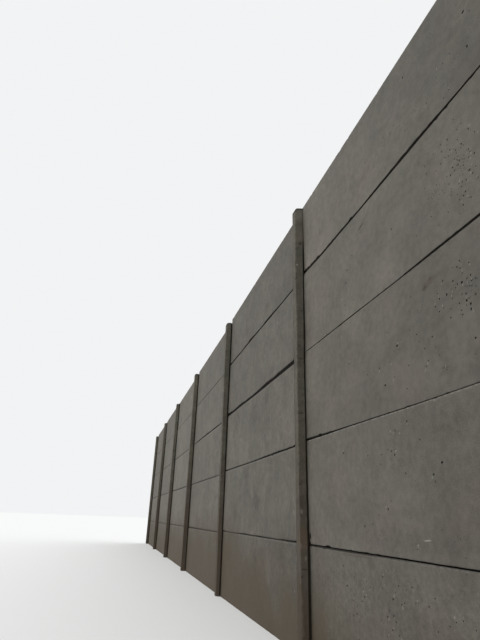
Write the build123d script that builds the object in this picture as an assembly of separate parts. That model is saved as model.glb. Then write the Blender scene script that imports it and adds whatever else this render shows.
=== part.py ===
from build123d import *
import os
from math import asin, atan2, cos, degrees, radians, sin

# Concrete boundary wall: slotted posts with flat slabs stacked on edge between them.
# All sizes are in millimetres. X runs along the wall, the face that is seen looks towards -Y, Z is up.
# The origin is at ground level, in the middle of the middle post's foot.
# Bay 1 and post 1 are at the +X end, and the numbers rise towards -X.

# Bays
bay_count = 6
bay_pitch = 2000.0
row_count = 5

# Slabs
slab_height = 498.0
slab_thickness = 40.0
slab_arris = 3.0
slab_end_clearance = 5.0
slab_seat_clearance = 0.2
slab_bed_clearance = 0.1

# Posts
web_thickness = 40.0
groove_depth = 20.0
groove_clearance = 8.0
groove_draft = 1.5
groove_arris = 2.0
groove_floor_round = 5.0
flange_thickness = 45.0
flange_face_width = 52.0
flange_round = 8.0
post_top_round = 20.0

# How far each post's top stands below the top of an even stack, from post 1 to post 7
post_drops = [20.0, -1.0, 36.0, 36.0, 43.0, 44.0, 37.0]

# How far each bay's lowest slab is let into the ground at its +X end and at its -X end, from bay 1 to bay 6
bay_sinks = [(12.0, 7.0), (2.0, 1.5), (14.0, 15.0), (16.0, 16.0), (19.0, 19.0), (14.0, 14.0)]

# How far each bed joint stands open at its +X end and at its -X end, from the lowest joint up
bed_joints = [
    [(0.0, 6.0), (0.0, 11.0), (3.0, 0.0), (6.5, 2.0)],
    [(0.0, 1.0), (0.0, 2.0), (8.0, 5.0), (5.0, 0.0)],
    [(0.0, 3.0), (0.0, 2.0), (0.0, 5.0), (0.0, 0.0)],
    [(0.0, 2.0), (0.0, 2.0), (0.0, 0.0), (0.0, 0.0)],
    [(0.0, 4.0), (0.0, 3.0), (0.0, 0.0), (0.0, 0.0)],
    [(0.0, 2.0), (0.0, 1.0), (0.0, 2.0), (0.0, 0.0)],
]

# How much taller than the others a slab is, by bay and row
slab_height_differences = {
    (1, 2): -1.5, (1, 3): -2.5, (1, 4): 2.0, (1, 5): -10.0,
    (2, 4): -4.0, (2, 5): -2.0, (3, 5): -7.0, (4, 5): -14.0,
}

# How far the top edge of a top slab leans forward in its grooves, by bay
top_slab_leans = {1: 7.5, 2: 1.5, 5: 2.5}

# How far a slab stands forward of the rear flanges, by bay and row
slab_steps = {
    (1, 3): 1.2, (1, 4): 0.6, (2, 2): 1.6, (2, 4): 0.8, (3, 1): 1.4,
    (3, 3): 0.8, (4, 4): 1.8, (5, 2): 1.0, (6, 3): 1.5,
}

# Broken lower corners by bay and row: at the -X end of the slab, their length and height
broken_corners = {(1, 5): (46.0, 24.0), (1, 2): (30.0, 34.0), (2, 3): (22.0, 12.0)}
broken_corner_depth = 16.0

# Sizes that follow
post_width = web_thickness + 2 * groove_depth
groove_floor_width = slab_thickness + groove_clearance
post_depth = groove_floor_width + 2 * (flange_thickness + groove_draft)
slab_length = bay_pitch - web_thickness - 2 * slab_end_clearance
stack_height = row_count * slab_height
wall_half_length = bay_count * bay_pitch / 2

# A slab stands against the rear flange, which it meets where its own end bevel stops
seat_share = (slab_end_clearance + slab_arris) / groove_depth
rear_seat_y = groove_floor_width / 2 + groove_draft * seat_share
slab_back_y = rear_seat_y - slab_seat_clearance
slab_front_y = slab_back_y - slab_thickness


def post_x(post_number):
    """Middle of a post along the wall."""
    return wall_half_length - (post_number - 1) * bay_pitch


def bay_x(bay_number):
    """Middle of a bay along the wall."""
    return post_x(bay_number) - bay_pitch / 2


def groove_sketch():
    """A groove that opens towards +X, a little wider at its mouth than at its floor."""
    floor_x = web_thickness / 2
    mouth_x = post_width / 2
    floor_y = groove_floor_width / 2
    mouth_y = floor_y + groove_draft
    half = [(mouth_x, mouth_y + groove_arris), (mouth_x - groove_arris, mouth_y), (floor_x, floor_y)]
    outline = Polygon(*half, *[(x, -y) for x, y in reversed(half)], align=None)
    floor_corners = outline.vertices().sort_by(Axis.X)[:2]
    return fillet(floor_corners, groove_floor_round)


def post_section():
    """The uncut post in plan: each flange narrows from the grooves to its face."""
    side_x = post_width / 2
    side_y = groove_floor_width / 2 + groove_draft + groove_arris
    face_x = flange_face_width / 2
    face_y = post_depth / 2
    half = [(face_x, -face_y), (side_x, -side_y), (side_x, side_y), (face_x, face_y)]
    return Polygon(*half, *[(-x, y) for x, y in reversed(half)], align=None)


def post_blank(height):
    """The uncut post: its plan carried up, its head rounded from front to back, its corners softened."""
    outline = Pos(0, height / 2) * Rectangle(post_depth, height)
    outline = fillet(outline.vertices().sort_by(Axis.Y)[-2:], post_top_round)
    blank = extrude(post_section(), height) & extrude(Plane.YZ * outline, post_width / 2, both=True)
    uprights = blank.edges().filter_by(Axis.Z)
    face_corners = uprights.filter_by(lambda edge: abs(edge.center().Y) > post_depth / 2 - flange_round)
    head_edges = blank.edges().filter_by(lambda edge: edge.center().Z > height - post_top_round)
    head_sides = head_edges.filter_by(lambda edge: abs(edge.center().X) > flange_face_width / 4)
    return fillet(face_corners + head_sides, flange_round)


def make_post(post_number):
    """One post, cut off level at the ground, with a groove down each side."""
    height = stack_height - post_drops[(post_number - 1) % len(post_drops)]
    groove = extrude(groove_sketch(), height)
    post = post_blank(height) - groove - mirror(groove, Plane.YZ)
    return Pos(post_x(post_number), 0, 0) * post


def height_of_slab(bay_number, row_number):
    """How tall one slab is."""
    return slab_height + slab_height_differences.get((bay_number, row_number), 0.0)


def slab_blank(height):
    """A slab with bevelled edges, its front lower edge along X through the origin."""
    centre = Pos(0, slab_thickness / 2, height / 2)
    blank = centre * Box(slab_length, slab_thickness, height)
    faces = blank.faces().sort_by(Axis.Y)
    return chamfer(faces[0].edges() + faces[-1].edges(), slab_arris)


def broken_corner(length, height):
    """What has broken off the front of a slab's lower corner at its -X end."""
    end_x = -slab_length / 2
    corner = Polygon((end_x, 0), (end_x + length, 0), (end_x, height), align=None)
    return extrude(Plane.XZ * corner, -broken_corner_depth)


def bed_tilt(low_z_near, low_z_far):
    """How far a bed turns a slab in the wall's plane, in degrees."""
    return degrees(atan2(low_z_far - low_z_near, slab_length))


def make_slab(bay_number, row_number, low_z_near, low_z_far):
    """One slab, standing on a bed that is low_z_near high at its +X end and low_z_far at its -X end."""
    key = (bay_number, row_number)
    height = height_of_slab(bay_number, row_number)
    slab = slab_blank(height)
    if key in broken_corners:
        slab = slab - broken_corner(*broken_corners[key])
    lean_reach = top_slab_leans.get(bay_number, 0.0) if row_number == row_count else 0.0
    lean = degrees(asin(lean_reach / height))
    tilt = bed_tilt(low_z_near, low_z_far)
    middle_x = bay_x(bay_number) - height / 2 * sin(radians(tilt))
    front_y = slab_front_y - slab_steps.get(key, 0.0)
    bed_z = (low_z_near + low_z_far) / 2
    slab = Pos(middle_x, front_y, bed_z) * Rot(0, tilt, 0) * Rot(lean, 0, 0) * slab
    if row_number == 1:
        slab = split(slab, bisect_by=Plane.XY, keep=Keep.TOP)
    return slab


def make_bay(bay_number):
    """The slabs of one bay from the ground up, each on the one below it."""
    near_z, far_z = (-sink for sink in bay_sinks[(bay_number - 1) % len(bay_sinks)])
    openings = bed_joints[(bay_number - 1) % len(bed_joints)]
    slabs = {}
    for row_number in range(1, row_count + 1):
        slabs[f"bay_{bay_number}_slab_{row_number}"] = make_slab(bay_number, row_number, near_z, far_z)
        height = height_of_slab(bay_number, row_number)
        rise = height / cos(radians(bed_tilt(near_z, far_z))) + slab_bed_clearance
        near_open, far_open = openings[(row_number - 1) % len(openings)]
        near_z += rise + near_open
        far_z += rise + far_open
    return slabs


os.makedirs("parts", exist_ok=True)
for number in range(1, bay_count + 2):
    export_step(make_post(number), f"parts/post_{number}.step")
for number in range(1, bay_count + 1):
    for name, slab in make_bay(number).items():
        export_step(slab, f"parts/{name}.step")
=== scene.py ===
"""Looks for the precast concrete boundary wall: worn slotted posts with cast slabs stacked between them."""

import math
from functools import partial

import bpy
import numpy as np
from mathutils import Matrix


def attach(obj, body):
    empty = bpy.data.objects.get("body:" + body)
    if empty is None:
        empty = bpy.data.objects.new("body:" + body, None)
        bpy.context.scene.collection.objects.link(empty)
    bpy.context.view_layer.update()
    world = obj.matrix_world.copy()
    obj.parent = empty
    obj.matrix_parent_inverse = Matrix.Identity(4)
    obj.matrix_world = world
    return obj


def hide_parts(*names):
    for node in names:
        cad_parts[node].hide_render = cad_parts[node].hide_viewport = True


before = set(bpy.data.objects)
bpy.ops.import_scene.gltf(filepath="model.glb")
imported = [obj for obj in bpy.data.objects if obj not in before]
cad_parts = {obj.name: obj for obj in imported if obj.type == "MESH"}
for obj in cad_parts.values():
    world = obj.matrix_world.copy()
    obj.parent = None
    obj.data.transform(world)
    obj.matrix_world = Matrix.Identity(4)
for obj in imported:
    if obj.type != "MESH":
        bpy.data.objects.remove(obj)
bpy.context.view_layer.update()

MM = 0.001

# Wall sizes, in metres, as in the part's own source
BAY_COUNT = 6
ROW_COUNT = 5
BAY_PITCH = 2000 * MM
SLAB_HEIGHT = 498 * MM
SLAB_THICKNESS = 40 * MM
SLAB_LENGTH = 1950 * MM
SLAB_FRONT_Y = -15.6 * MM
SLAB_ARRIS = 3 * MM
SLAB_BED_CLEARANCE = 0.1 * MM
WEB_HALF = 20 * MM
POST_HALF_WIDTH = 40 * MM
POST_HALF_DEPTH = 70.5 * MM
GROOVE_MOUTH = 25.5 * MM
GROOVE_FLOOR = 24 * MM
POST_TOP_ROUND = 20 * MM
FLANGE_FACE_HALF = 26 * MM
FLANGE_ROUND = 8 * MM
POST_DROPS = [20, -1, 36, 36, 43, 44, 37]

# Posts 2 and 3: below this height in metres their front faces lie further back, by so many mm for each metre
SET_BACK_FROM = 1.95
FACE_SET_BACKS = {2: 6.8, 3: 9.5}

# Every post: how far its groove lips are worn at most, at which height and how far up and down in metres,
# what share of the CAD's corner rounding is left and its least, and how much narrower its near side is
LIP_WEAR = 9 * MM
LIP_WEAR_HEIGHT = 1.45
LIP_WEAR_REACH = 0.9
CORNER_LEFT = 0.4
LEAST_CORNER = 0.3 * MM
NEAR_SIDE_NARROWED = 5 * MM

# Post 2's near corner is worn more: height in metres, and mm more
NEAR_CORNER_WEAR = [(0, 9), (0.15, 8), (0.45, 0), (1.5, 0), (1.62, 4), (1.8, 4), (1.9, 0)]

# How the slabs stand in their bays, in mm, as in the part's own source
BAY_SINKS = [(12, 7), (2, 1.5), (14, 15), (16, 16), (19, 19), (14, 14)]
SLAB_HEIGHT_DIFFERENCES = {
    (1, 2): -1.5, (1, 3): -2.5, (1, 4): 2, (1, 5): -10, (2, 4): -4, (2, 5): -2, (3, 5): -7, (4, 5): -14,
}
TOP_SLAB_LEANS = {1: 7.5, 2: 1.5, 5: 2.5}
SLAB_STEPS = {
    (1, 3): 1.2, (1, 4): 0.6, (2, 2): 1.6, (2, 4): 0.8, (3, 1): 1.4,
    (3, 3): 0.8, (4, 4): 1.8, (5, 2): 1.0, (6, 3): 1.5,
}
BED_JOINTS = [
    [(0, 6), (0, 11), (3, 0), (6.5, 2)],
    [(0, 1), (0, 2), (8, 5), (5, 0)],
    [(0, 3), (0, 2), (0, 5), (0, 0)],
    [(0, 2), (0, 2), (0, 0), (0, 0)],
    [(0, 4), (0, 3), (0, 0), (0, 0)],
    [(0, 2), (0, 1), (0, 2), (0, 0)],
]

# How wide each bed joint looks from the front, in mm, at even steps from its +X end, from the lowest joint up
JOINT_WIDTHS = [
    [
        (5.3, 9),
        (2, 2, 2, 4, 12),
        (13, 13, 12.5, 11, 4.5, 4.5, 5.5, 4.5, 1),
        (6, 6, 9, 18, 15, 11, 13, 15, 32),
    ],
    [
        (13, 8.5, 5, 7, 6, 9, 4, 4.5, 11),
        (6, 9, 12.5, 9.5, 8.5, 9, 8, 9, 9.5),
        (28, 26, 26, 27, 20, 20, 24, 21, 31),
        (12, 12, 14, 19, 14, 22, 12, 11.5, 24),
    ],
    [(6.5, 8, 10, 14), (5, 6, 8, 5), (10, 14, 14, 6), (4, 5)],
    [(6, 8), (6, 10), (6, 4, 8), (4, 6)],
    [(5, 9), (5, 9), (4, 6), (4, 5)],
    [(4, 8), (5, 8), (4, 7), (4, 5)],
]

# How much higher than its own opening a bed joint is seen, in mm, as in JOINT_WIDTHS: where it lies lower,
# the top edge of the slab below is worn down, and where it lies higher, bedding stands on that slab
JOINT_RISES = [
    [
        (-0.7, -0.7, -1, -2.3, -2.3),
        (0, 0, 0, 0, 0.5, 3, 5, 5, 6),
        (-2, -2, -2.2, -3.5, -2, -0.8, 0, -0.3, 2),
        (-1, -1, -2, -2, -3, -3.5, -1, -1.3, 3),
    ],
    [
        (-3.8, -3, -2, -1.6, -0.5),
        (-3, -3, -3, -1.8, 0),
        (-2, -2.5, -3.8, -5.5, -7, -4.5, -2, -3, -2.5),
        (-1.5, -2, -1.5, 0, 2, 2, 1, 3, 0),
    ],
    [(-3, -4, -4, -4, -3), (-2, -2), (-3.5, -4, -2, -0.5, -1), (0, 0)],
]

# How far bay 1's slabs stand forward beside post 2: height in metres, and mm forward; fading along X
FACE_BOW = [
    (0, -3), (0.45, -3), (0.6, 0.5), (0.9, 3), (1.45, 3), (1.6, 0.8), (1.9, 4.5), (1.99, 4.5), (2.05, 0),
]
FACE_BOW_REACH = 0.35

# How much lighter or darker than the others a piece is, in steps of about 2 %: a slab at its +X and its -X
# end.
# For the slabs of bays 1 and 2, nearest the camera, this is partly each cast's own tone and partly painted
# shade, darkest toward their +X ends
SLAB_TONES_AND_SHADE = [
    [(-8, -7), (-7, 1), (-11, 1), (-5, 1), (-14, 10)],
    [(-12, -9), (-5, -3), (-3, -1), (-6, -4), (-8, -6)],
    [(-2, -2)] * ROW_COUNT,
    [(3, 3), (4, 4), (5, 5), (4, 4), (4, 4)],
    [(0, 0)] * ROW_COUNT,
    [(0, 0)] * ROW_COUNT,
]
POST_TONES = {1: 0, 2: -4, 3: -2, 4: 4, 5: 5, 6: 5, 7: 6}

# A slab's grid: rows up its back and over its top, and for each row under its bed the share of the way to the
# front and how much of the open joint is filled there
BACK_ROWS = 12
TOP_ROWS = 4
JOINT_STOP = np.array([(0, 0), (0.05, 0), (0.1, 1), (0.7, 1), (0.74, 0), (1, 0)])

# Broken lower corners at a slab's -X end, in mm: length, height, depth
BROKEN_CORNERS = {(1, 5): (70, 26, 16), (1, 2): (30, 34, 16), (2, 3): (22, 12, 16)}

# Chips that stand out along a slab's lower edge: bay, row, place along in m, half length and size in mm
EDGE_CHIPS = [
    (1, 5, 4.66, 16, 9), (1, 5, 4.24, 22, 10), (1, 3, 4.21, 16, 7), (1, 2, 4.26, 30, 7),
    (2, 4, 3.85, 24, 12), (2, 3, 3.85, 26, 10),
]

# Air holes that stand out in bay 1: place along the wall and height in metres, width in mm
LARGE_HOLES = [
    (5.278, 1.307, 9), (5.316, 1.339, 7), (5.355, 1.316, 10), (5.380, 1.319, 6), (5.234, 1.331, 5),
    (5.214, 1.291, 6), (5.348, 1.277, 6), (5.332, 1.254, 6), (5.365, 1.250, 10), (5.380, 1.232, 9),
    (5.378, 1.216, 9), (5.358, 1.391, 6), (5.356, 1.366, 6), (5.179, 1.194, 7), (5.379, 1.122, 9),
    (5.093, 1.232, 6), (4.964, 1.230, 12), (4.858, 1.101, 10), (4.825, 1.179, 8), (4.561, 1.272, 8),
    (5.418, 1.568, 7), (5.159, 1.603, 6), (5.001, 1.730, 8), (4.591, 1.742, 10), (4.575, 1.681, 9),
    (4.979, 0.941, 8), (5.150, 0.785, 10), (5.102, 0.752, 9), (4.882, 0.836, 8), (4.459, 0.886, 9),
    (4.808, 0.649, 9), (4.624, 0.588, 8), (4.796, 0.361, 8), (4.443, 0.360, 9), (5.570, 2.273, 12),
    (5.556, 2.122, 11), (5.199, 2.365, 9), (5.410, 2.014, 9), (5.492, 1.816, 8), (5.423, 1.724, 8),
    (5.499, 1.709, 8), (5.468, 1.668, 8), (5.436, 1.607, 8),
]

# Where bay 1's and bay 2's faces are paler or darker: place and half sizes in mm, tone in steps of about 2 %
SLAB_CLOUDS = [
    ((4.93, 1.59), (120, 90), 6), ((5.00, 1.09), (150, 120), 9), ((4.61, 1.54), (110, 120), 8),
    ((5.07, 1.73), (90, 80), 8), ((5.33, 1.18), (90, 110), 7), ((5.20, 0.90), (90, 60), -7),
    ((4.57, 1.19), (120, 90), 7), ((4.40, 2.08), (120, 80), 6), ((4.92, 0.54), (300, 40), -6),
    ((4.35, 0.06), (420, 100), -15), ((3.065, 0.71), (90, 170), -11), ((2.80, 0.92), (80, 80), -9),
    ((3.27, 1.41), (60, 60), -12), ((2.96, 1.35), (110, 90), -9), ((2.39, 1.36), (110, 90), -8),
    ((3.55, 0.68), (200, 100), 8), ((3.35, 0.33), (60, 90), 10), ((2.90, 0.39), (60, 70), 8),
    ((2.20, 0.33), (110, 70), -9), ((2.75, 1.18), (90, 110), 7), ((3.05, 0.30), (50, 110), -9),
    ((3.62, 0.40), (70, 60), -8), ((2.45, 0.62), (60, 90), -7),
]

# Where small air holes stand closest in bay 1: place and half sizes in mm, and the gap between them
DENSE_HOLES = [((5.395, 1.265), (70, 75)), ((5.44, 1.740), (60, 120)), ((5.30, 1.700), (70, 60))]
DENSE_HOLE_GAP = 10 * MM

# How far a patch or a group of holes reaches in behind the face, in mm
FACE_PATCH_DEPTH = 60

# Sand in the cement, drawn a little coarser than it is so that it shows
SAND_GRAIN = 3.2 * MM

# Where air holes crowd in bay 1: middle in metres, spread along and up in mm, count, width in mm
HOLE_CROWDS = [
    ((5.36, 1.285), (60, 45), 46, (4, 7)), ((5.42, 1.600), (20, 25), 6, (4, 7)),
    ((5.43, 1.730), (45, 90), 40, (4, 7)), ((5.30, 1.700), (70, 70), 16, (4, 6)),
    ((5.43, 2.100), (40, 60), 8, (4, 7)), ((5.10, 2.150), (60, 40), 6, (4, 6)),
    ((4.78, 0.870), (190, 40), 12, (4, 7)), ((4.68, 1.640), (130, 70), 6, (5, 8)),
    ((5.00, 1.180), (110, 60), 14, (4, 6)), ((4.70, 0.330), (200, 80), 44, (4, 7)),
    ((5.20, 0.300), (160, 80), 26, (3.5, 5)),
]


def smooth_noise(across, up, seed):
    """Random values from -1 to 1 at a plane's whole-number points, blended between them by 3t^2 - 2t^3."""
    table = np.random.default_rng(seed).uniform(-1, 1, 4096)
    column, row = np.floor(across), np.floor(up)
    part_across, part_up = across - column, up - row
    part_across = part_across * part_across * (3 - 2 * part_across)
    part_up = part_up * part_up * (3 - 2 * part_up)
    column, row = column.astype(np.int64), row.astype(np.int64)

    def corner(right, above):
        return table[((column + right) * 7919 + (row + above) * 104729) % 4096]

    low = corner(0, 0) + (corner(1, 0) - corner(0, 0)) * part_across
    high = corner(0, 1) + (corner(1, 1) - corner(0, 1)) * part_across
    return low + (high - low) * part_up


def layered_noise(across, up, layers, seed):
    """Sum of smooth noises, one for each (height, a bump's width across, its width up), all in metres."""
    return sum(
        height * smooth_noise(across / wide, up / tall, seed + 17 * place)
        for place, (height, wide, tall) in enumerate(layers)
    )


def chipped(along, chips):
    """Size of the deepest chip at each place: a chip is half an ellipse, (middle, half length, size)."""
    if not len(chips):
        return np.zeros_like(along)
    middle, half, size = (np.asarray(chips)[:, k, None] for k in range(3))
    inside = np.clip(1 - ((along - middle) / half) ** 2, 0, 1)
    return (size * np.sqrt(inside)).max(axis=0)


def random_chips(rng, low, high, count, half_range, size_range):
    """Chips at random places between low and high."""
    return np.column_stack([
        rng.uniform(low, high, count), rng.uniform(*half_range, count), rng.uniform(*size_range, count),
    ])


def closed_mesh(name, rings, caps, floats):
    """A closed skin: rings of points joined by quads, and each end ring closed by a grid or a middle point.

    caps is None for a middle point, or (first, last) grids whose borders are the end rings in the same order.
    floats holds one value for each ring point by name, and is zero on cap points that are not ring points.
    """
    station_count, ring_count = rings.shape[:2]
    points = [rings.reshape(-1, 3)]
    index = np.arange(station_count * ring_count).reshape(station_count, ring_count)
    after = np.roll(index, -1, axis=1)
    quads = [np.stack([index[:-1], after[:-1], after[1:], index[1:]], axis=-1).reshape(-1, 4)]
    triangles = []
    used = station_count * ring_count
    for end, ring in ((0, index[0]), (1, index[-1])):
        if caps is None:
            points.append(rings[-end].mean(axis=0)[None])
            fan = np.stack([ring, np.roll(ring, -1), np.full(ring_count, used)], axis=-1)
            triangles.append(fan if end else fan[:, ::-1])
            used += 1
            continue
        grid = caps[end]
        rows, columns = grid.shape[:2]
        number = np.full((rows, columns), -1)
        border = border_cells(rows, columns)
        number[border[:, 0], border[:, 1]] = ring
        inner = number < 0
        number[inner] = used + np.arange(inner.sum())
        points.append(grid[inner])
        used += int(inner.sum())
        around = [number[:-1, :-1], number[:-1, 1:], number[1:, 1:], number[1:, :-1]]
        cells = np.stack(around, axis=-1).reshape(-1, 4)
        quads.append(cells if end else cells[:, ::-1])
    points = np.concatenate(points)
    quads = np.concatenate(quads)
    faces = quads.tolist() + (np.concatenate(triangles).tolist() if triangles else [])
    mesh = bpy.data.meshes.new(name)
    mesh.from_pydata(points.tolist(), [], faces)
    for label, values in floats.items():
        full = np.zeros(len(points), np.float32)
        full[: values.size] = values.ravel()
        mesh.attributes.new(label, "FLOAT", "POINT").data.foreach_set("value", full)
    mesh.validate()
    mesh.shade_smooth()
    mesh.set_sharp_from_angle(angle=math.radians(34))
    return mesh


def border_cells(rows, columns):
    """Places of a grid's border points, in order: along the first row, up the last column, and back round."""
    first = [(0, column) for column in range(columns)]
    last_column = [(row, columns - 1) for row in range(1, rows)]
    last = [(rows - 1, column) for column in range(columns - 2, -1, -1)]
    first_column = [(row, 0) for row in range(rows - 2, 0, -1)]
    return np.array(first + last_column + last + first_column)


def outwards(mesh):
    """Turns the faces over if the closed mesh's signed volume comes out negative."""
    mesh.calc_loop_triangles()
    co = np.zeros(len(mesh.vertices) * 3)
    mesh.vertices.foreach_get("co", co)
    tri = np.zeros(len(mesh.loop_triangles) * 3, np.int32)
    mesh.loop_triangles.foreach_get("vertices", tri)
    a, b, c = co.reshape(-1, 3)[tri.reshape(-1, 3)].transpose(1, 0, 2)
    if (np.cross(a, b) * c).sum() < 0:
        mesh.flip_normals()
    return mesh


def put(name, data):
    """Puts a new object in the scene."""
    thing = bpy.data.objects.new(name, data)
    bpy.context.scene.collection.objects.link(thing)
    return thing


def show_piece(mesh, node, material):
    """Puts a finished mesh in the scene in place of a CAD node."""
    piece = put(mesh.name, mesh)
    mesh.materials.append(material)
    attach(piece, "root")
    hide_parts(node)


def draw_to_holes(across, up, holes, rng):
    """Moves the grid point nearest to each hole to its middle, and the eight round that to its uneven rim.

    across and up are grids of points on the face, and holes lists (across, up, width).
    Returns how deep each point lies, how dark it is as painted shade in the hole (1 in the middle of a hole,
    0 on its rim), and where a painted highlight lies beside some holes.
    """
    depth, shade, pale = np.zeros_like(across), np.zeros_like(across), np.zeros_like(across)
    taken = np.zeros(across.shape, bool)
    middle_row = across.shape[1] // 2
    for place, height, width in holes:
        i = int(np.abs(across[:, middle_row] - place).argmin())
        j = int(np.abs(up[i] - height).argmin())
        block = (slice(i - 1, i + 2), slice(j - 1, j + 2))
        inside = 2 <= i < across.shape[0] - 2 and 3 <= j < across.shape[1] - 3
        if not inside or taken[block].any():
            continue
        taken[block] = True
        right, above = np.meshgrid([-1.0, 0.0, 1.0], [-1.0, 0.0, 1.0], indexing="ij")
        reach = np.maximum(np.hypot(right, above), 1.0) / rng.uniform(0.8, 1.2, (3, 3))
        stretch = rng.uniform(0.7, 1.4)
        across[block] = place + right / reach * width / 2 * stretch
        up[block] = height + above / reach * width / 2 / stretch
        # The middle sinks and is painted dark as the shade inside the hole
        depth[i, j] = 0.6 * width
        shade[i, j] = 1.0
        # Some holes get a painted highlight two rows above or below them
        if rng.uniform() < 0.4:
            pale[i + rng.integers(-2, 3), j + rng.choice([-2, 2])] = 2.0
    return depth, shade, pale


def slab_height(bay, row):
    """How tall one slab is."""
    return SLAB_HEIGHT + SLAB_HEIGHT_DIFFERENCES.get((bay, row), 0) * MM


def slab_frame(bay, row):
    """Where a slab stands: its low edge's heights at both ends, how far it leans, and its front."""
    near, far = (-sink * MM for sink in BAY_SINKS[bay - 1])
    for below in range(1, row):
        rise = slab_height(bay, below) / math.cos(math.atan2(far - near, SLAB_LENGTH)) + SLAB_BED_CLEARANCE
        near_open, far_open = BED_JOINTS[bay - 1][below - 1]
        near, far = near + rise + near_open * MM, far + rise + far_open * MM
    tilt = math.atan2(far - near, SLAB_LENGTH)
    lean = math.asin(TOP_SLAB_LEANS.get(bay, 0) * MM / slab_height(bay, row)) if row == ROW_COUNT else 0.0
    front_y = SLAB_FRONT_Y - SLAB_STEPS.get((bay, row), 0) * MM
    middle_x = (BAY_COUNT / 2 - bay + 0.5) * BAY_PITCH - slab_height(bay, row) / 2 * math.sin(tilt)
    return middle_x, front_y, (near + far) / 2, tilt, lean


def to_wall(points, placing):
    """Slab points in the wall's frame: leant about the low front edge, tilted in the wall's plane, moved."""
    middle_x, front_y, bed_z, tilt, lean = placing
    x, y, z = np.moveaxis(points, -1, 0)
    y, z = y * math.cos(lean) - z * math.sin(lean), y * math.sin(lean) + z * math.cos(lean)
    x, z = x * math.cos(tilt) + z * math.sin(tilt), z * math.cos(tilt) - x * math.sin(tilt)
    return np.stack([x + middle_x, y + front_y, z + bed_z], axis=-1)


def arris(depth, height, steps, turn):
    """Quarter of an ellipse for each station: points (inward, from the edge) between two faces, no ends."""
    angle = np.linspace(0, np.pi / 2, steps + 2)[1:-1]
    angle = angle if turn else angle[::-1]
    return depth[:, None] * (1 - np.cos(angle)), height[:, None] * (1 - np.sin(angle))


def cove(depth, height, steps):
    """Quarter of an ellipse hollowed into an edge for each station, from the bed to the face, no ends."""
    angle = np.linspace(0, np.pi / 2, steps + 2)[1:-1]
    return depth[:, None] * np.cos(angle), height[:, None] * np.sin(angle)


def slab_detail(bay):
    """A slab's stations, face rows, arris steps and scattered holes (count, width in mm), finer close by."""
    half = SLAB_LENGTH / 2
    if bay == 1:
        places, counts = (-half, 0.16, 0.46, 0.60, half), (190, 84, 24, 28)
        spans = [np.linspace(a, b, n, endpoint=False) for a, b, n in zip(places, places[1:], counts)]
        return np.concatenate([*spans, [half]]), 100, 5, (24, 3, 5)
    if bay == 2:
        return np.linspace(-half, half, 184), 48, 3, (12, 3.5, 6)
    if bay == 3:
        return np.linspace(-half, half, 90), 26, 3, (4, 5, 8)
    return np.linspace(-half, half, 60), 18, 2, (2, 6, 9)


def at_joint(table, bay, row, along):
    """What a table gives at even steps along the joint under a slab, by station."""
    values = table[bay - 1][row - 2] if bay <= len(table) and 1 < row <= ROW_COUNT else (0, 0)
    return np.interp(0.5 - along / SLAB_LENGTH, np.linspace(0, 1, len(values)), values) * MM


def bedding(bay, row, along):
    """How high bedding stands in the joint under a slab, by station."""
    return np.clip(at_joint(JOINT_RISES, bay, row, along), 0, at_joint(BED_JOINTS, bay, row, along))


def lower_edge(bay, row, along, middle_x, wander, rng):
    """Height and depth of the hollow along a slab's lower front edge, and how far the edge hangs, by station.

    Over a joint the hollow is as high as the joint looks, less the joint's own opening, and wanders and chips
    on. Where the joint looks narrower than it stands open, the edge hangs into it.
    """
    half = SLAB_LENGTH / 2
    chips = random_chips(rng, -half, half, 6, (5 * MM, 18 * MM), (1 * MM, 2.5 * MM))
    own = [chip for chip in EDGE_CHIPS if chip[:2] == (bay, row)]
    chips = [*chips, *((x - middle_x, length * MM, size * MM) for _, _, x, length, size in own)]
    if row == 1:
        return np.full_like(along, 0.3 * MM), np.full_like(along, 0.3 * MM), np.zeros_like(along)
    opening = at_joint(BED_JOINTS, bay, row, along)
    hollow = at_joint(JOINT_WIDTHS, bay, row, along) - opening + at_joint(JOINT_RISES, bay, row, along)
    hang = np.clip(1.5 * MM - hollow, 0, opening)
    height = np.clip(hollow, 1.5 * MM, None) * (1 + 0.2 * wander) + 0.8 * chipped(along, chips)
    depth = 6 * MM + 0.4 * height + 0.5 * chipped(along, chips)
    if (bay, row) in BROKEN_CORNERS:
        length, tall, deep = (size * MM for size in BROKEN_CORNERS[(bay, row)])
        rough = 1 + 0.18 * layered_noise(along, along * 0, [(1.0, 0.007, 1)], 7 * bay + row)
        left = np.clip(1 - (along + half) / length, 0, 1) * rough
        height = np.maximum(height, tall * left)
        depth = np.maximum(depth, deep * np.sqrt(np.clip(left, 0, 1)))
    return height, depth, hang


def air_holes(bay, middle_x, bed_z, height, scatter, rng):
    """Air holes of one slab's face, as (along, up, width): those that stand out, the crowds, a scatter."""
    half = SLAB_LENGTH / 2
    holes = []
    if bay == 1:
        holes += [(x, z, width * MM) for x, z, width in LARGE_HOLES]
        crowd_rng = np.random.default_rng(31)
        for (x, z), (wide, tall), count, (smallest, largest) in HOLE_CROWDS:
            holes += np.column_stack([
                crowd_rng.normal(x, wide * MM, count), crowd_rng.normal(z, tall * MM, count),
                crowd_rng.uniform(smallest * MM, largest * MM, count),
            ]).tolist()
    holes = [(x - middle_x, z - bed_z, width) for x, z, width in holes]
    holes = [hole for hole in holes if abs(hole[0]) < half and 0.02 < hole[1] < height - 0.02]
    count, smallest, largest = scatter
    return holes + np.column_stack([
        rng.uniform(-half + 0.05, half - 0.05, count), rng.uniform(0.03, height - 0.03, count),
        rng.uniform(smallest * MM, largest * MM, count),
    ]).tolist()


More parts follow.
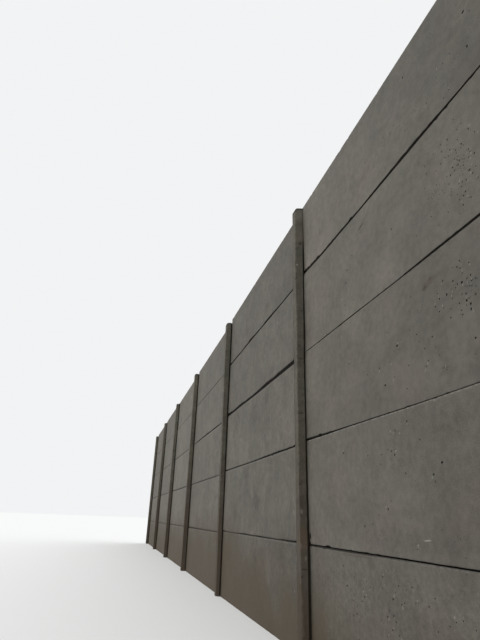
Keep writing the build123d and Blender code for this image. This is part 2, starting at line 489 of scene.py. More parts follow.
def slab_surface(bay, row):
    """One cast slab: an eased outline in the YZ plane carried along X, waved, chipped and pitted on its face.

    The outline runs up the face, over the top, down the back and under the bed. Its corners are quarters of
    ellipses whose sizes wander along the slab and grow at chips: the lower front one is hollow, the others
    round.
    """
    seed = 1000 * bay + 10 * row
    rng = np.random.default_rng(seed)
    along, row_count, steps, scatter = slab_detail(bay)
    half = SLAB_LENGTH / 2
    placing = slab_frame(bay, row)
    middle_x, _, bed_z, tilt, _ = placing
    height = slab_height(bay, row)
    end_ease = np.clip(SLAB_ARRIS - half + np.abs(along), 0, SLAB_ARRIS)

    # Sizes of the corners along the slab
    wander = layered_noise(along, along * 0, [(1.0, 0.11, 1), (0.8, 0.023, 1)], seed + 3)
    chip_count = 9 if row == ROW_COUNT else 5
    top_chips = random_chips(rng, -half, half, chip_count, (4 * MM, 16 * MM), (2 * MM, 6 * MM))
    top_chips = chipped(along, top_chips)
    worn_down = np.clip(-at_joint(JOINT_RISES, bay, row + 1, along), 0, None)
    top_height = 2.2 * MM + 0.5 * MM * wander + top_chips + worn_down
    top_depth = 2.8 * MM - 0.4 * MM * wander + 0.8 * top_chips + 0.4 * worn_down
    low_height, low_depth, hang = lower_edge(bay, row, along, middle_x, wander, rng)
    back = 3 * MM + 0.8 * MM * np.abs(wander)
    low = end_ease - hang
    if row == 1:
        low = np.maximum(low, (along * math.sin(tilt) - bed_z) / math.cos(tilt))
    high = height - end_ease + bedding(bay, row + 1, along)
    front_y, back_y = end_ease, SLAB_THICKNESS - end_ease

    # Face, with its waves and air holes
    face_start, face_end = low + low_height, high - top_height
    face_z = face_start[:, None] + np.linspace(0, 1, row_count) * (face_end - face_start)[:, None]
    face_x = np.repeat(along[:, None], row_count, axis=1)
    holes = air_holes(bay, middle_x, bed_z, height, scatter, rng)
    pit_depth, pit_shade, pale = draw_to_holes(face_x, face_z, holes, rng)
    waves = [(0.42 * MM, 0.37, 0.29), (0.15 * MM, 0.09, 0.06), (0.04 * MM, 0.02, 0.02)]
    face_y = front_y[:, None] + 0.6 * MM + layered_noise(face_x, face_z, waves, seed + 7) + pit_depth

    # Back, rougher from the trowel
    back_z = (high - back)[:, None] + np.linspace(0, 1, BACK_ROWS) * (low + 2 * back - high)[:, None]
    back_x = np.repeat(along[:, None], BACK_ROWS, axis=1)
    back_waves = [(0.7 * MM, 0.21, 0.17), (0.3 * MM, 0.06, 0.06)]
    back_face_y = back_y[:, None] - 1.0 * MM - layered_noise(back_x, back_z, back_waves, seed + 9)

    # Corners, top and bed
    top_in, top_down = arris(top_depth, top_height, steps, True)
    low_in, low_up = cove(low_depth, low_height, steps)
    back_in, back_off = arris(back, back, 2, True)
    across = np.linspace(0, 1, TOP_ROWS)
    top_y = (front_y + top_depth)[:, None] + across * (back_y - back - front_y - top_depth)[:, None]

    # An open joint is stopped behind the front by what has settled in it
    bed_y = (back_y - back)[:, None] + JOINT_STOP[:, 0] * (front_y + low_depth - back_y + back)[:, None]
    stop = np.clip(at_joint(BED_JOINTS, bay, row, along) - hang - bedding(bay, row, along), 0, None)
    bed_height = low[:, None] - JOINT_STOP[:, 1] * stop[:, None]

    def level(heights, count):
        """The same height across a row of points."""
        return np.repeat(heights[:, None], count, axis=1)

    parts = [
        (face_y, face_z),
        (front_y[:, None] + top_in, high[:, None] - top_down),
        (top_y, level(high, TOP_ROWS)),
        (back_y[:, None] - back_in[:, ::-1], high[:, None] - back_off[:, ::-1]),
        (back_face_y, back_z),
        (back_y[:, None] - back_in, low[:, None] + back_off),
        (bed_y, bed_height),
        (front_y[:, None] + low_in, low[:, None] + low_up),
    ]
    ring_y, ring_z = (np.concatenate([part[axis] for part in parts], axis=1) for axis in (0, 1))
    if bay == 1:
        fade = np.clip(1 - (along + half) / FACE_BOW_REACH, 0, 1)[:, None]
        bow = np.interp(bed_z + ring_z, *zip(*FACE_BOW)) * MM * fade * fade * (3 - 2 * fade)
        ring_y = ring_y - bow * (1 - ring_y / SLAB_THICKNESS)
    ring_x = level(along, ring_y.shape[1])
    ring_x[:, :row_count] = face_x
    rings = np.stack([ring_x, ring_y, ring_z], axis=-1)

    # What the material reads: air holes, their middles painted dark as shade; pale spots beside some
    # holes and along the top arrises, as painted highlights; grime with painted shade in the joint and
    # beside the posts; and this cast's own tone, which in bays 1 and 2 also holds painted shade
    pit, worn, grime_and_painted_shade = (np.zeros(ring_x.shape, np.float32) for _ in range(3))
    # Painted shade in the middles of the air holes, and painted highlights beside some of them
    pit[:, :row_count] = pit_shade
    worn[:, :row_count] = pale
    # Pale along the top arris under a joint, as a painted highlight, taken away where the arris is worn down
    # into the joint
    painted_top_highlight = 0.0 if row == ROW_COUNT else 1.6 if (bay, row) == (1, 2) else 0.8
    worn[:, row_count - 1: row_count + steps] = painted_top_highlight
    joint_grime_and_painted_shade = np.clip(worn_down / (2.5 * MM), 0, 1)[:, None]
    worn[:, row_count: row_count + steps] *= 1 - joint_grime_and_painted_shade
    # Painted shade on the face beside the posts, full within 15 mm of the slab's ends and gone at 40 mm
    painted_shade_beside_post = np.clip(1 - (half - 15 * MM - np.abs(along)) / (25 * MM), 0, 1)
    grime_and_painted_shade[:, :row_count + steps] = 0.2 * painted_shade_beside_post[:, None]
    # Grime and painted shade: on the top arris where it is worn into the joint, a little on the top slab's top
    # arris, near black on the bed and the joint's stop, dark in the hollow under the lower edge, some on the
    # face's lowest row
    grime_and_painted_shade[:, row_count: row_count + steps] += 0.15 if row == ROW_COUNT else 0.9 * joint_grime_and_painted_shade
    if row > 1:
        grime_and_painted_shade[:, -steps - len(JOINT_STOP):] = 1
        grime_and_painted_shade[:, -steps:] = np.linspace(1, 0.65 if bay == 1 else 0.9, steps)
        grime_and_painted_shade[:, 0] = 0.3
    # The cast's own tone, which for bays 1 and 2 also holds painted shade, darker toward their +X ends
    near_tone, far_tone = SLAB_TONES_AND_SHADE[bay - 1][row - 1]
    share = (half - ring_x) / SLAB_LENGTH
    cast = (near_tone + (far_tone - near_tone) * share + 1.4 * rng.uniform(-1, 1)).astype(np.float32)
    floats = {"pit": pit, "worn": worn, "grime_and_painted_shade": grime_and_painted_shade, "tone_and_shade": cast}
    return outwards(closed_mesh(f"bay_{bay}_slab_{row}_concrete", to_wall(rings, placing), None, floats))


def post_detail(number):
    """Counts for a post's grid: points across a flange face, round a corner, along its side, and stations."""
    if number == 2:
        return 12, 7, 10, 360
    if number == 3:
        return 8, 5, 7, 220
    return 6, 4, 5, 110


def flange_half_width(y):
    """Half the post's width at a depth: full at the grooves, narrowing evenly to the faces."""
    lip = GROOVE_MOUTH + 2 * MM
    share = np.clip((np.abs(y) - lip) / (POST_HALF_DEPTH - lip), 0, 1)
    return POST_HALF_WIDTH + (FLANGE_FACE_HALF - POST_HALF_WIDTH) * share


def flange_side(face_y, narrowed, corner, lip_x, corner_count, side_count):
    """Points from a flange's face round its corner and along its side to the groove's lip, for each station.

    The corner is a parabola that leaves each side at the length of a fillet's tangent: corner * tan(36 deg).
    """
    lip = GROOVE_MOUTH + 2 * MM
    sharp = np.stack([flange_half_width(face_y) - narrowed, face_y], axis=-1)[:, None]
    end = np.stack([lip_x, np.full_like(lip_x, -lip)], axis=-1)[:, None]
    slope = (end - sharp) / np.linalg.norm(end - sharp, axis=-1, keepdims=True)
    reach = (corner * math.tan(math.radians(36)))[:, None, None]
    start, finish = sharp - reach * [1, 0], sharp + reach * slope
    t = np.linspace(0, 1, corner_count + 1)[1:, None]
    bend = (1 - t) ** 2 * start + 2 * t * (1 - t) * sharp + t ** 2 * finish
    along = np.linspace(0, 1, side_count + 1)[1:, None]
    return start[:, 0], np.concatenate([bend, finish + along * (end - finish)], axis=1)


def post_half_outline(z, set_back, narrowed, corner, lip_wear, filled, corner_count, side_count):
    """Right-hand side of the post's outline from the front face's end to the rear face's, for each station.

    set_back is how far the front face lies further back, narrowed how much is off its side, corner how far
    its corner is rounded, lip_wear how far the groove's lip is worn back, and filled how thick mortar lies on
    the groove's front wall. Y always grows along the outline.
    """
    stations = len(z)
    face_y = -POST_HALF_DEPTH + set_back
    first, front = flange_side(face_y, narrowed, corner, POST_HALF_WIDTH - lip_wear, corner_count, side_count)
    rear_sizes = (np.full(stations, size) for size in (-POST_HALF_DEPTH, 0, FLANGE_ROUND, POST_HALF_WIDTH))
    last, rear = flange_side(*rear_sizes, corner_count, side_count)
    groove_front = np.array([
        (POST_HALF_WIDTH - 0.7 * MM, -GROOVE_MOUTH - 0.7 * MM), (POST_HALF_WIDTH - 2 * MM, -GROOVE_MOUTH),
        (POST_HALF_WIDTH - 9 * MM, -GROOVE_FLOOR - 0.82 * MM), (WEB_HALF + 5 * MM, -GROOVE_FLOOR - 0.35 * MM),
        (WEB_HALF + 2.4 * MM, -GROOVE_FLOOR + 0.9 * MM), (WEB_HALF + 0.7 * MM, -GROOVE_FLOOR + 2.6 * MM),
        (WEB_HALF, -GROOVE_FLOOR + 5 * MM), (WEB_HALF, -6 * MM),
    ])
    groove = np.concatenate([groove_front, groove_front[::-1] * [1, -1]])
    groove = np.repeat(groove[None], stations, axis=0)
    groove[:, :4, 0] -= lip_wear[:, None] * [1, 0.9, 0.4, 0]
    groove[:, 1:4, 1] += filled[:, None] * [0.9, 1, 1]
    groove[:, 0, 1] += 0.3 * filled
    return first, last * [1, -1], np.concatenate([front, groove, rear[:, ::-1] * [1, -1]], axis=1)


def post_surface(number):
    """One slotted post: an H outline carried up Z with worn corners, closed on top by a rounded, worn cap."""
    seed = 500 + 40 * number
    rng = np.random.default_rng(seed)
    across_count, corner_count, side_count, station_count = post_detail(number)
    height = ROW_COUNT * SLAB_HEIGHT - POST_DROPS[number - 1] * MM
    middle_x = (BAY_COUNT / 2 + 1 - number) * BAY_PITCH
    up = np.linspace(0, 1, station_count)
    z_guess = up * height
    halves = []
    for side, turn in ((1, 0), (-1, 5)):
        wear = layered_noise(z_guess, z_guess * 0, [(2.2 * MM, 0.16, 1), (1.6 * MM, 0.035, 1)], seed + turn)
        chips = random_chips(rng, 0, height, 12, (6 * MM, 22 * MM), (3 * MM, 9 * MM))
        corner = np.clip(CORNER_LEFT * FLANGE_ROUND + wear + chipped(z_guess, chips), LEAST_CORNER, None)
        lip_wear = layered_noise(z_guess, z_guess * 0, [(3 * MM, 0.2, 1), (2 * MM, 0.03, 1)], seed + turn + 2)
        lip_wear = np.clip(lip_wear, 0, None)
        lip_wear += LIP_WEAR * np.clip(1 - np.abs(z_guess - LIP_WEAR_HEIGHT) / LIP_WEAR_REACH, 0, 1)
        filled = np.zeros_like(z_guess)
        if (number, side) == (2, 1):
            # Mortar beside the top slab, whole lips at the foot, and the worn near corner
            ragged = layered_noise(z_guess, z_guess * 0, [(0.6, 0.016, 1)], seed + 31)
            level = np.clip((z_guess - 2.17) / 0.08 + ragged, 0, 1)
            filled = level * (2.2 * MM + 7.5 * MM * np.clip((z_guess - 1.98) / 0.49, 0, 1))
            lip_wear *= np.clip((z_guess - 0.35) / 0.3, 0, 1)
            corner = corner + np.interp(z_guess, *zip(*NEAR_CORNER_WEAR)) * MM
        narrowed = NEAR_SIDE_NARROWED if side == 1 else 0.0
        set_back = FACE_SET_BACKS.get(number, 0) * MM * np.clip(SET_BACK_FROM - z_guess, 0, None)
        first, last, half = post_half_outline(
            z_guess, set_back, narrowed, corner, lip_wear, filled, corner_count, side_count,
        )
        halves.append([part * [side, 1] for part in (first, last, half)])
    (right_first, right_last, right), (left_first, left_last, left) = halves
    half_count = right.shape[1]
    share = np.linspace(0, 1, across_count + 1)[:, None]

    # Order: front face left to right, right side to the rear, rear face right to left, left side back
    front = left_first[:, None] + share * (right_first - left_first)[:, None]
    rear = right_last[:, None] + share * (left_last - right_last)[:, None]
    outline = np.concatenate([front, right, rear, left[:, ::-1]], axis=1)

    # Rough skin: outward faces sink a little, the groove's walls don't
    x, y = outline[..., 0], outline[..., 1]
    z_rows = np.repeat(z_guess[:, None], outline.shape[1], axis=1)
    around = np.cumsum(np.hypot(*np.diff(outline, axis=1, prepend=outline[:, :1]).transpose(2, 0, 1)), axis=1)
    skin = [(0.8 * MM, 0.05, 0.21), (0.45 * MM, 0.016, 0.03), (0.35 * MM, 0.008, 0.01)]
    sink = np.clip(layered_noise(around, z_rows, skin, seed + 11) + 0.5 * MM, 0, 3 * MM)
    sink = np.where(np.abs(y) > GROOVE_MOUTH + 1 * MM, sink, 0)
    face_part = np.zeros(outline.shape[1])
    face_part[: across_count + 1] = 1
    face_part[across_count + 1 + half_count: 2 * across_count + 2 + half_count] = 1
    inward = np.stack([(1 - face_part) * np.sign(x) * sink, face_part * np.sign(y) * sink], axis=-1)
    outline = outline - inward

    def top_height(x, y):
        """Height of the rounded top: a large radius front and rear, a small one at the sides, less wear."""
        from_front = np.clip(POST_HALF_DEPTH - np.abs(y), 0, POST_TOP_ROUND)
        drop_front = POST_TOP_ROUND - np.sqrt(POST_TOP_ROUND ** 2 - (POST_TOP_ROUND - from_front) ** 2)
        from_side = np.clip(flange_half_width(y) - np.abs(x), 0, FLANGE_ROUND)
        drop_side = FLANGE_ROUND - np.sqrt(FLANGE_ROUND ** 2 - (FLANGE_ROUND - from_side) ** 2)
        worn = layered_noise(x, y, [(1.4 * MM, 0.03, 0.03), (0.9 * MM, 0.009, 0.009)], seed + 13) - 0.4 * MM
        return height - np.minimum(np.hypot(drop_front, drop_side), POST_TOP_ROUND) + np.minimum(worn, 0)

    wall_top = top_height(outline[-1, :, 0], outline[-1, :, 1])
    z = up[:, None] * wall_top
    rings = np.concatenate([outline, z[..., None]], axis=-1)
    rings[..., 0] += middle_x

    def cap(ring, top):
        """An end of the post: rows joining the two sides, their ends on the outline."""
        count = across_count + 1
        first, right_side = ring[:count], ring[count: count + half_count]
        last, left_side = np.split(ring[count + half_count:], [count])
        inner = left_side[::-1][:, None] + share[None] * (right_side - left_side[::-1])[:, None]
        grid = np.concatenate([first[None], inner, last[::-1][None]])
        if top:
            grid[1:-1, 1:-1, 2] = top_height(grid[1:-1, 1:-1, 0] - middle_x, grid[1:-1, 1:-1, 1])
        return grid

    # What the material reads: corners worn pale; grooves and lips near black, as grime and painted shade in
    # the recess; and the top rows darkened
    worn, grime_and_painted_shade = (np.zeros(rings.shape[:2], np.float32) for _ in range(2))
    first = across_count + 1
    worn[:, first: first + corner_count] = 1
    worn[:, -corner_count:] = 1
    groove = (np.abs(y) < GROOVE_MOUTH + 1.5 * MM) & (np.abs(x) > WEB_HALF - 1 * MM)
    # Grime and painted shade in the grooves, where the slabs sit
    grime_and_painted_shade[groove] = 1
    if number == 2:
        grime_and_painted_shade[(z > 2.24) & (x > 0)] = 0
    # The top ring darkened, two rows of it on post 2
    grime_and_painted_shade[-2 if number == 2 else -1:] = 1
    tone = np.full_like(worn, POST_TONES[number])
    floats = {"pit": np.zeros_like(worn), "worn": worn, "grime_and_painted_shade": grime_and_painted_shade, "tone_and_shade": tone}
    caps = (cap(rings[0], False), cap(rings[-1], True))
    return outwards(closed_mesh(f"post_{number}_concrete", rings, caps, floats))


def linear(hex_colour):
    """sRGB hex to linear RGBA."""
    parts = [int(hex_colour[k: k + 2], 16) / 255 for k in (1, 3, 5)]
    return tuple(c / 12.92 if c <= 0.04045 else ((c + 0.055) / 1.055) ** 2.4 for c in parts) + (1.0,)


def add(tree, kind, inputs=(), output=0, **settings):
    """Adds a node and gives one of its outputs.

    inputs are values or other nodes' outputs, in the order of the node's sockets or by socket. settings are
    the node's own properties.
    """
    node = tree.nodes.new("ShaderNode" + kind)
    for name, value in settings.items():
        setattr(node, name, value)
    for socket, value in inputs.items() if isinstance(inputs, dict) else enumerate(inputs):
        if isinstance(value, bpy.types.NodeSocket):
            tree.links.new(value, node.inputs[socket])
        else:
            node.inputs[socket].default_value = value
    return node.outputs[output] if len(node.outputs) else None


def empty_tree(owner):
    """Clears a new material's or world's nodes, and gives the function that adds one."""
    owner.use_nodes = True
    owner.node_tree.nodes.clear()
    return partial(add, owner.node_tree)


# Settings that many nodes share: a range mapped softly and held at its ends, and a blend of two colours,
# whose sockets are 0 for the share, 6 and 7 for the colours
SOFT = {"interpolation_type": "SMOOTHSTEP"}
COLOURS = {"data_type": "RGBA", "output": 2}


def concrete(name, colours, sizes, strengths, marks=(), patches=(), dense_holes=()):
    """Cast concrete: cloudy cement skin, sand grain, air holes, faint runs, soil at the foot, pale worn post
    corners, painted shade in holes, joints and grooves, and painted highlights on slab top arrises and beside
    some holes.

    colours: low, high, stain, hole, worn, soil; hole is near black, the painted shade in air holes and, with
    grime,
    in joints and grooves, and worn is pale wear on the posts and painted highlights on the slabs. sizes, in
    metres:
    cloud, blotch, mottle, run (a scale on each axis), pinhole and its gap, soil height and how much lower it
    stays
    in bay 1. strengths: how far each effect goes. marks: (colour, middle in m, half sizes in mm, share, turn
    in degrees). patches: (place on the face in m, half sizes in mm, tone). dense_holes: (place on the face in
    m, half sizes in mm).
    """
    material = bpy.data.materials.new(name)
    node = empty_tree(material)
    place = node("TexCoord", output="Object")
    height = node("SeparateXYZ", (place,), output="Z")
    along = height.node.outputs["X"]
    tone_and_shade, modelled_hole, worn, grime_and_painted_shade = (
        node("Attribute", attribute_name=label, output="Fac") for label in ("tone_and_shade", "pit", "worn", "grime_and_painted_shade")
    )

    def cloudy(scale, detail=3.0, stretch=(1, 1, 1), shift=0.0, rough=0.55):
        """Uneven pattern fixed to the wall: noise on its stretched and shifted coordinates, from 0 to 1."""
        moved = node("Mapping", {"Vector": place, "Scale": stretch, "Location": (shift,) * 3})
        return node("TexNoise", {"Vector": moved, "Scale": scale, "Detail": detail, "Roughness": rough})

    def distance_from(middle, half_sizes, turn=0):
        """Distance from a place on the wall, 1 on the ellipsoid of its half sizes in mm."""
        moved = node("Mapping", {
            "Vector": place, "Location": middle, "Rotation": (0, -math.radians(turn), 0),
            "Scale": [size * MM for size in half_sizes],
        }, vector_type="TEXTURE")
        return node("VectorMath", (moved,), output="Value", operation="LENGTH")

    def distance_on_face(spot, half_sizes):
        """The same from a place on the slabs' face, given along and up."""
        (x, z), (wide, tall) = spot, half_sizes
        return distance_from((x, SLAB_FRONT_Y, z), (wide, FACE_PATCH_DEPTH, tall))

    low, high, stain, hole_shade_and_grime_colour, wear_and_highlight_colour, soil_colour = (linear(colour) for colour in colours)
    ragged = node("Math", (cloudy(45.0, shift=4.2), 1.1, -0.55), operation="MULTIPLY_ADD")
    sand = cloudy(1 / SAND_GRAIN, 2, shift=0.4)

    # Cement skin: clouds, blotches and a slow drift between a pinkish and a greenish grey
    clouds = cloudy(1 / sizes["cloud"], 4, shift=3.1)
    blotches = cloudy(1 / sizes["blotch"], 5, shift=7.7, rough=0.62)
    colour = node("Mix", {0: node("MapRange", (clouds, 0.34, 0.66), **SOFT), 6: low, 7: high}, **COLOURS)
    stained = node("MapRange", (blotches, 0.5, 0.74, 0, strengths["blotch"]), **SOFT)
    colour = node("Mix", {0: stained, 6: colour, 7: stain}, **COLOURS)
    drift = node("MapRange", (cloudy(1 / 0.17, shift=11.3), 0.34, 0.66), **SOFT)
    tint = node("Mix", {0: drift, 6: linear("#FFFAF8"), 7: linear("#FCFEF8")}, **COLOURS)

    # Shades: the cast's own tone, which on the slabs of bays 1 and 2 also holds painted shade, mottling, sand,
    # patches that are strongest up to post 2, runs or bands, splashes near the ground, and the tone patches
    shade = node("Math", (tone_and_shade, strengths["tone_and_shade"], 1.0), operation="MULTIPLY_ADD")
    patch = node("MapRange", (along, 3.9, 4.1, *strengths["patch"]), **SOFT)
    splash = node("MapRange", (height, 0.42, 0.52, strengths["splash"], 0.0), **SOFT)
    for texture, strength in (
        (cloudy(1 / sizes["mottle"], shift=1.9), strengths["mottle"]),
        (sand, strengths["grain"]),
        (cloudy(1 / 0.07, 4, shift=8.8, rough=0.6), patch),
        (cloudy(1.0, 3, sizes["run"], 1.3), strengths["run"]),
        (cloudy(1 / (14 * MM), shift=6.1), splash),
    ):
        swing = node("MapRange", (texture, 0.3, 0.7, -1, 1), **SOFT)
        factor = node("Math", (swing, strength, 1.0), operation="MULTIPLY_ADD")
        shade = node("Math", (shade, factor), operation="MULTIPLY")
    for spot, half_sizes, tone in patches:
        rim = node("Math", (ragged, 0.7, distance_on_face(spot, half_sizes)), operation="MULTIPLY_ADD")
        lighter = node("MapRange", (rim, 0.1, 1.5, tone * strengths["tone_and_shade"], 0.0), **SOFT)
        shade = node("Math", (shade, lighter), operation="ADD")
    for multiplier in (tint, node("CombineColor", (shade,) * 3)):
        colour = node("Mix", {0: 1.0, 6: colour, 7: multiplier}, blend_type="MULTIPLY", **COLOURS)

    # Marks on the face that is seen: soft-edged ellipsoids with a ragged rim, less ragged on low ones
    layers = []
    for mark_colour, middle, half_sizes, share, *turn in marks:
        unevenness = min(half_sizes[2] / 14, 1)
        distance = distance_from(middle, half_sizes, *turn)
        rim = node("Math", (ragged, unevenness, distance), operation="MULTIPLY_ADD")
        layers.append((node("MapRange", (rim, 0.45, 1.05, share, 0.0), **SOFT), linear(mark_colour)))

    # Air holes, painted near black as the shade inside them: small ones from a cell pattern, those modelled in
    # the face, and small ones close together
    gap = sizes["pinhole_gap"]
    largest = sizes["pinhole"] / gap
    pinhole_size = node("MapRange", (cloudy(9.0, 2, shift=5.0), 0.4, 0.7, 0.0, largest), **SOFT)
    pinhole = node("TexVoronoi", {"Vector": place, "Scale": 1 / gap}, output="Distance")
    pinhole = node("Math", (pinhole, pinhole_size), operation="LESS_THAN")
    pinhole = node("Math", (pinhole, strengths["pinhole"]), operation="MULTIPLY")
    modelled_hole = node("MapRange", (modelled_hole, 0.05, 0.2), **SOFT)
    hole = node("Math", (pinhole, modelled_hole), operation="MAXIMUM")
    for spot, half_sizes in dense_holes:
        reach = node("MapRange", (distance_on_face(spot, half_sizes), 0.3, 1.1, 0.38, 0.0), **SOFT)
        close = node("TexVoronoi", {"Vector": place, "Scale": 1 / DENSE_HOLE_GAP}, output="Distance")
        size = node("Math", (close.node.outputs["Color"], reach), operation="MULTIPLY")
        hole = node("Math", (hole, node("Math", (close, size), operation="LESS_THAN")), operation="MAXIMUM")

    # Worn post corners show fresh, paler cement, and the slabs get painted highlights; joints, undersides,
    # grooves and the faces beside the posts hold grime and painted shade
    fresh = node("MapRange", (cloudy(60.0, shift=2.0), 0.35, 0.65, 0.1, strengths["worn"]), **SOFT)
    worn = node("Math", (worn, fresh), operation="MULTIPLY")
    grime_and_painted_shade = node("Math", (grime_and_painted_shade, strengths["grime_and_painted_shade"]), operation="MULTIPLY")

    # Soil splashed up from the ground, uneven along its top, low in bay 1 and high at bay 2's far end
    reach = sizes["soil"]
    edge = node("Math", (cloudy(3.2, 4, shift=9.0), -reach, height), operation="MULTIPLY_ADD")
    for lift in ((3.98, 4.5, 0.0, sizes["soil_clear"]), (2.0, 3.7, -0.2, 0.0)):
        edge = node("Math", (edge, node("MapRange", (along, *lift), **SOFT)), operation="ADD")
    soil = node("MapRange", (edge, -0.4 * reach, 0.6 * reach, strengths["soil"], 0.0), **SOFT)
    # Near black over holes and over grime, as painted shade; pale over worn places, as wear on the posts and
    # painted highlights on the slabs; soil last
    layers += [(hole, hole_shade_and_grime_colour), (worn, wear_and_highlight_colour), (grime_and_painted_shade, hole_shade_and_grime_colour), (soil, soil_colour)]
    for share, layer in layers:
        colour = node("Mix", {0: share, 6: colour, 7: layer}, **COLOURS)

    # Skin: shallow sand texture and air holes as bump, and a slightly uneven sheen, dulled where grime and
    # painted shade lie
    relief = node("Math", (sand, 0.25 * MM), operation="MULTIPLY")
    for texture, rise in ((hole, -1.2 * MM), (blotches, strengths["skin"] * MM)):
        relief = node("Math", (texture, rise, relief), operation="MULTIPLY_ADD")
    rough = strengths["rough"]
    shader = node("BsdfPrincipled", {
        "Base Color": colour, "IOR": 1.5,
        "Roughness": node("MapRange", (clouds, 0.3, 0.7, rough - 0.06, rough + 0.06), **SOFT),
        "Specular IOR Level": node("MapRange", (grime_and_painted_shade, 0.2, 1.0, 0.3, 0.13), **SOFT),
        "Normal": node("Bump", {"Height": relief, "Strength": 1.0, "Distance": 1.0}),
    })
    node("OutputMaterial", {"Surface": shader})
    return material


def make_light():
    """One wide, soft light on the face that is seen."""
    lamp = bpy.data.lights.new("soft_key", "SUN")
    lamp.energy = 0.96
    lamp.angle = math.radians(60)
    put("soft_key", lamp).rotation_euler = (math.radians(52), 0, math.radians(-20))


def make_floor():
    """Plain pale floor, which gives less light back to the wall than it shows to the camera."""
    mesh = bpy.data.meshes.new("floor")
    reach = 160.0
    corners = [(-reach, -reach, 0), (reach, -reach, 0), (reach, reach, 0), (-reach, reach, 0)]
    mesh.from_pydata(corners, [], [(0, 1, 2, 3)])
    floor = put("floor", mesh)
    material = bpy.data.materials.new("pale_floor")
    node = empty_tree(material)
    rays = node("LightPath").node.outputs
    seen = node("BsdfDiffuse", {"Color": linear("#D9D8D5")})
    bounced = node("BsdfDiffuse", {"Color": linear("#6B655E")})
    direct = node("Math", (rays["Is Camera Ray"], rays["Is Glossy Ray"]), operation="MAXIMUM")
    node("OutputMaterial", {"Surface": node("MixShader", (direct, bounced, seen))})
    mesh.materials.append(material)


def make_world():
    """Even, soft light from all round, and a white background to the camera and to reflections."""
    world = bpy.data.worlds.new("studio")
    node = empty_tree(world)
    rays = node("LightPath").node.outputs
    soft = node("Background", {"Color": linear("#F4F7FA"), "Strength": 1.3})
    white = node("Background", {"Color": linear("#F2F3F4"), "Strength": 1.0})
    direct = node("Math", (rays["Is Camera Ray"], rays["Is Glossy Ray"]), operation="MAXIMUM")
    direct = node("Math", (direct, rays["Is Transmission Ray"]), operation="MAXIMUM")
    node("OutputWorld", {"Surface": node("MixShader", (direct, soft, white))})
    bpy.context.scene.world = world


def make_camera():
    """The photograph's camera: low, one metre off the wall, looking along it and up."""
    camera = bpy.data.cameras.new("camera")
    camera.lens = 27.17
    camera.sensor_width = 36.0
    camera.shift_x, camera.shift_y = -0.00078, 0.00078
    camera.clip_start = 0.05
    camera.clip_end = 400.0
    holder = put("camera", camera)
    right, up = (0.24681, 0.96844, 0.03470), (0.36078, -0.12506, 0.92423)
    backward = (0.89940, -0.21559, -0.38026)
    turn = Matrix((right, up, backward)).transposed()
    holder.matrix_world = Matrix.Translation((6.511, -1.0036, 0.5985)) @ turn.to_4x4()
    bpy.context.scene.camera = holder


# Marks that stand out on the slabs' face: colour, place along and up in m, half sizes in mm, share, turn
SLAB_MARKS = [
    ("#2A2722", (4.757, 1.899), (36, 4.2), 1.0, 15),
    ("#A8A498", (5.034, 0.556), (24, 2.6), 0.6, 4),
    ("#4E443C", (5.200, 1.390), (66, 19), 0.65, 14),
    ("#37302A", (5.172, 1.380), (15, 9), 0.65, 14),
    ("#37302A", (5.207, 1.398), (12, 4), 0.5, 20),
    ("#8F8B80", (3.832, 1.008), (14, 5), 0.7),
    ("#45413A", (5.228, 1.071), (24, 5), 0.6, -6),
    ("#4B423A", (4.540, 0.484), (170, 16), 0.5, 1),
    # Near black in the notch of bay 1's broken corner above the first joint: painted shade in the notch
    ("#1A1814", (4.046, 0.534), (17, 19), 1.0),
    ("#4B423A", (4.655, 0.462), (36, 26), 0.3),
]
SLAB_MARK_Y = -16 * MM
SLAB_MARK_DEPTH = 25

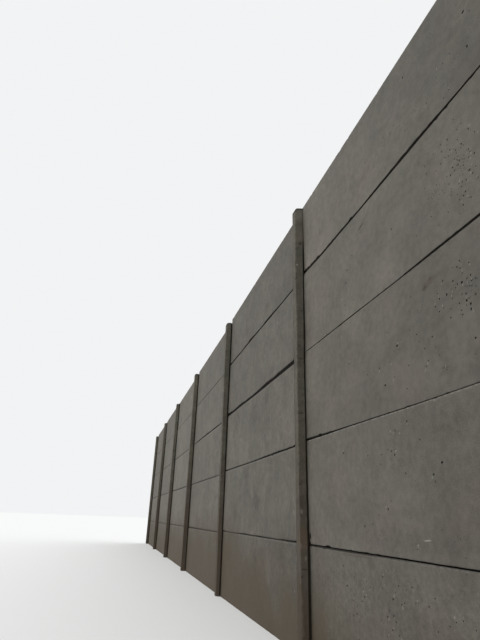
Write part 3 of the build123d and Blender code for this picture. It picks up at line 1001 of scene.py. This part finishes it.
# Marks on posts 2 and 3: colour, middle in m, half sizes in mm, share
POST_MARKS = [
    ("#6A5844", (4.028, -0.046, 0.520), (40, 40, 75), 0.5),
    ("#4F4C47", (4.028, -0.046, 0.280), (40, 40, 95), 0.5),
    ("#453D33", (3.990, -0.060, 0.250), (50, 30, 150), 0.65),
    ("#38352F", (4.028, -0.046, 0.690), (40, 40, 42), 0.55),
    ("#8A867C", (4.026, -0.052, 0.645), (12, 9, 14), 0.7),
    ("#3F4038", (4.028, -0.046, 2.160), (40, 40, 50), 0.5),
    ("#45423B", (4.028, -0.046, 1.900), (40, 40, 330), 0.3),
    ("#75736A", (4.028, -0.046, 2.430), (40, 40, 55), 0.35),
    ("#2E2A24", (4.028, -0.046, 0.040), (40, 40, 180), 0.6),
    ("#2E2A24", (4.010, -0.064, 0.160), (20, 15, 260), 0.5),
    ("#6B5F55", (4.028, -0.046, 2.270), (40, 40, 28), 0.4),
    ("#33302A", (4.034, -0.040, 2.222), (40, 14, 14), 0.5),
    ("#33302A", (4.022, -0.056, 2.190), (40, 12, 9), 0.4),
    ("#2E2A24", (4.034, -0.038, 1.760), (40, 12, 9), 0.45),
    ("#54453B", (4.030, -0.046, 1.600), (40, 22, 9), 0.5),
    ("#2E2A24", (4.024, -0.056, 1.540), (40, 12, 10), 0.45),
    ("#2E2A24", (4.034, -0.036, 1.250), (40, 12, 8), 0.4),
    ("#2E2A24", (4.022, -0.054, 0.780), (40, 12, 9), 0.45),
    ("#8F8B80", (4.024, -0.060, 2.072), (8, 7, 7), 0.8),
    ("#8F8B80", (4.036, -0.036, 0.433), (9, 7, 14), 0.7),
    ("#23201B", (4.032, -0.042, 0.383), (40, 22, 5), 0.9),
    ("#23201B", (4.026, -0.054, 0.350), (8, 8, 9), 0.9),
    ("#23201B", (4.026, -0.054, 0.280), (8, 8, 9), 0.8),
    ("#2E2A24", (4.030, -0.050, 1.148), (40, 20, 8), 0.55),
    ("#2E2A24", (4.030, -0.042, 1.462), (40, 20, 8), 0.45),
    # The last three: dark pits along post 3's front edge, painted flat as the shade inside them
    ("#3A362F", (1.966, -0.066, 2.180), (14, 14, 190), 0.6),
    ("#23201B", (1.972, -0.070, 2.200), (14, 14, 16), 0.9),
    ("#23201B", (1.972, -0.070, 2.000), (14, 14, 14), 0.9),
]

# Slab: concrete cast against a smooth steel mould, so the face is close and even, a warm mid grey
slab_concrete = concrete(
    "steel_moulded_concrete", ("#5F5B54", "#6C6861", "#56524B", "#100F0C", "#86827A", "#4D4233"),
    {
        "cloud": 0.42, "blotch": 0.15, "mottle": 0.03, "run": (11, 11, 0.9), "pinhole": 3 * MM,
        "pinhole_gap": 34 * MM, "soil": 0.5, "soil_clear": 0.17,
    },
    {
        "blotch": 0.5, "mottle": 0.09, "grain": 0.13, "patch": (0.10, 0.04), "run": 0.01, "splash": 0.1,
        "tone_and_shade": 0.022, "pinhole": 0.75, "worn": 0.6, "grime_and_painted_shade": 0.97, "soil": 0.8, "skin": 0.5, "rough": 0.8,
    },
    [
        (colour, (x, SLAB_MARK_Y, z), (wide, SLAB_MARK_DEPTH, tall), *share_and_turn)
        for colour, (x, z), (wide, tall), *share_and_turn in SLAB_MARKS
    ],
    SLAB_CLOUDS, DENSE_HOLES,
)

# Post: concrete vibrated in a rough mould, browner and blotched by weather, with softened corners
post_concrete = concrete(
    "rough_moulded_concrete", ("#545148", "#625F55", "#463F36", "#1A1814", "#787469", "#483D32"),
    {
        "cloud": 0.16, "blotch": 0.03, "mottle": 0.012, "run": (3, 3, 26), "pinhole": 5 * MM,
        "pinhole_gap": 30 * MM, "soil": 1.2, "soil_clear": 0.0,
    },
    {
        "blotch": 0.3, "mottle": 0.12, "grain": 0.14, "patch": (0.03, 0.03), "run": 0.10, "splash": 0.08,
        "tone_and_shade": 0.022, "pinhole": 0.75, "worn": 0.6, "grime_and_painted_shade": 0.7, "soil": 0.8, "skin": 1.4, "rough": 0.85,
    },
    POST_MARKS,
)

for bay in range(1, BAY_COUNT + 1):
    for row in range(1, ROW_COUNT + 1):
        show_piece(slab_surface(bay, row), f"bay_{bay}_slab_{row}", slab_concrete)
for number in range(1, BAY_COUNT + 2):
    show_piece(post_surface(number), f"post_{number}", post_concrete)

make_floor()
make_world()
make_light()
make_camera()
bpy.context.scene.view_settings.view_transform = "Standard"
